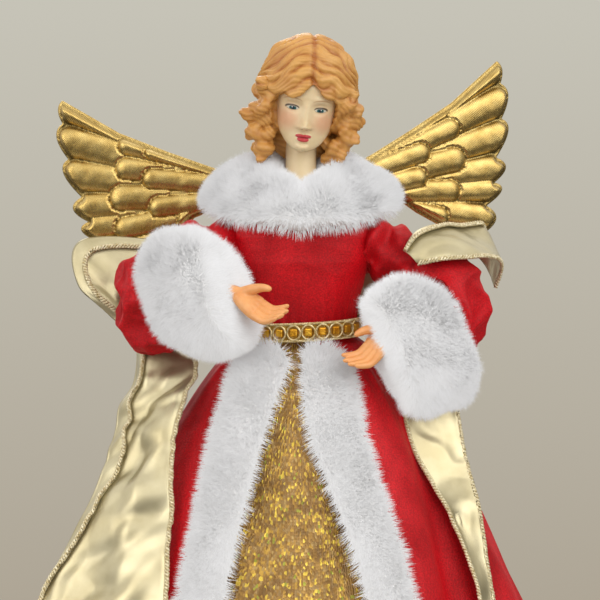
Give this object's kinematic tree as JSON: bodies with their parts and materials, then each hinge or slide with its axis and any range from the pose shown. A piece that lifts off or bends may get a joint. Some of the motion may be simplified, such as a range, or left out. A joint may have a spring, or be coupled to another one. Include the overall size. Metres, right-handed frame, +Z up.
{
  "type": "angel tree topper",
  "caption": "Angel doll tree topper in a red velvet coat with fur collar, cuffs and front bands, gold wings and a stole, on a hollow cone base.",
  "frame": {"origin": "on the axis of the cone, at the flat foot of its ring", "axes": "+Z up, the doll faces -Y, +X towards the viewer's right"},
  "size_m": [0.333, 0.2799, 0.4001],
  "materials": {
    "white_board": "matt white card",
    "white_foam": "expanded foam",
    "plain_wood": "plain dowel",
    "red_velvet": "short pile velvet",
    "gold_brocade": "brocade with metallic yarn",
    "white_fur": "faux fur plush",
    "gold_braid": "metallic gimp braid",
    "face_plastic": "painted moulded plastic",
    "hair_plastic": "painted moulded plastic",
    "hand_plastic": "moulded plastic",
    "steel_wire": "bare wire",
    "white_plastic": "moulded plastic",
    "gold_wing": "embossed gold lame",
    "champagne_lame": "lame with braided edges"
  },
  "bodies": {
    "figure": {"base_cone": "white_board", "base_ring": "white_board", "torso_form": "white_foam", "neck_peg": "plain_wood", "bodice": "red_velvet", "coat_skirt": "red_velvet", "brocade_underskirt": "gold_brocade", "left_front_fur": "white_fur", "right_front_fur": "white_fur", "waist_braid": "gold_braid", "fur_collar": "white_fur", "wing_bracket": "white_plastic", "stole_left": "champagne_lame", "stole_right": "champagne_lame"},
    "head": {"head": "face_plastic", "hair": "hair_plastic"},
    "left_arm": {"left_arm_wire": "steel_wire", "left_hand": "hand_plastic", "left_cuff": "white_fur", "left_sleeve": "red_velvet"},
    "right_arm": {"right_arm_wire": "steel_wire", "right_hand": "hand_plastic", "right_cuff": "white_fur", "right_sleeve": "red_velvet", "stole_arm_wrap": "champagne_lame"},
    "left_wing": {"left_wing": "gold_wing", "left_wing_stay": "steel_wire"},
    "right_wing": {"right_wing": "gold_wing", "right_wing_stay": "steel_wire"}
  },
  "joints": [
    {"name": "head_turn", "type": "hinge", "parent": "figure", "child": "head", "pos_m": [0, 0, 0.3173], "axis": [0, 0, 1], "range_deg": [-20, 20]},
    {"name": "left_arm_lift", "type": "hinge", "parent": "figure", "child": "left_arm", "pos_m": [-0.031, 0, 0.292], "axis": [0, 1, 0], "range_deg": [0, 10]},
    {"name": "right_arm_lift", "type": "hinge", "parent": "figure", "child": "right_arm", "pos_m": [0.031, 0, 0.292], "axis": [0, -1, 0], "range_deg": [0, 10]},
    {"name": "left_wing_fold", "type": "hinge", "parent": "figure", "child": "left_wing", "pos_m": [-0.01, 0.036, 0.296], "axis": [0, 0, -1], "range_deg": [-8, 40]},
    {"name": "right_wing_fold", "type": "hinge", "parent": "figure", "child": "right_wing", "pos_m": [0.01, 0.036, 0.296], "axis": [0, 0, 1], "range_deg": [-22, 26]}
  ]
}
